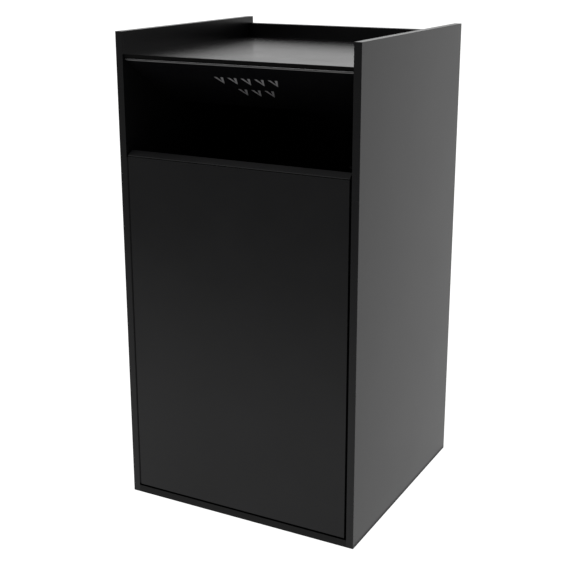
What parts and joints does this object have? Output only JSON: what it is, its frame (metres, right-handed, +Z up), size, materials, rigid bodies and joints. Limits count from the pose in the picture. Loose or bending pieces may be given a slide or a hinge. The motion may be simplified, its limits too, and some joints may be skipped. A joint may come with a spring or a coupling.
{
  "type": "book drop box",
  "caption": "Free-standing black laminated drop box with a tray top, a swinging drop flap over an inset hinged door, and a collection bin inside.",
  "frame": {"origin": "middle of the footprint, on the floor", "axes": "+Z up; the front with flap and door faces -Y; +X is the viewer's right from the front"},
  "size_m": [0.622, 0.61, 1.168],
  "materials": {
    "laminate": "black melamine laminate on particle board, fine satin texture",
    "edge_band": "black plastic edge band, satin",
    "beech": "plain beech dowel",
    "zinc": "zinc plated, slightly dull",
    "flap_gloss": "glossy black plastic sheet",
    "print": "pale grey print, matt",
    "steel": "plain steel",
    "nylon": "black moulded nylon",
    "magnet": "dark sintered ferrite",
    "rubber": "soft black rubber",
    "bin_plastic": "dark grey moulded plastic with a fine grain"
  },
  "bodies": {
    "cabinet": {"left_side_panel": "laminate", "right_side_panel": "laminate", "base_panel": "laminate", "back_panel": "laminate", "tray_shelf": "laminate", "door_stop_strip": "laminate", "side_edge_bands": "edge_band", "base_edge_band": "edge_band", "back_edge_band": "edge_band", "shelf_edge_band": "edge_band", "panel_dowels": "beech", "cam_bolts": "zinc", "cam_nuts": "zinc", "stop_strip_screws": "zinc", "flap_rod": "steel", "hinge_cabinet_leaf": "steel", "hinge_pin": "steel", "hinge_cabinet_screws": "steel", "catch_pole_plates": "steel", "catch_screws": "steel", "flap_bushes": "nylon", "flap_stops": "nylon", "catch_housing": "nylon", "catch_magnet": "magnet", "door_bumpers": "rubber", "collection_bin": "bin_plastic"},
    "flap": {"drop_flap": "flap_gloss", "flap_marking": "print"},
    "door": {"door_panel": "laminate", "door_edge_bands": "edge_band", "door_pull_rail": "laminate", "rail_dowels": "beech", "hinge_door_leaf": "steel", "hinge_door_screws": "steel", "strike_plate": "steel", "strike_screws": "steel"}
  },
  "joints": [
    {"name": "flap_swing", "type": "hinge", "parent": "cabinet", "child": "flap", "pos_m": [0, -0.2945, 1.1042], "axis": [1, 0, 0], "range_deg": [-57, 14]},
    {"name": "door_hinge", "type": "hinge", "parent": "cabinet", "child": "door", "pos_m": [-0.29075, -0.3031, 0.45], "axis": [0, 0, -1], "range_deg": [0, 120]}
  ]
}
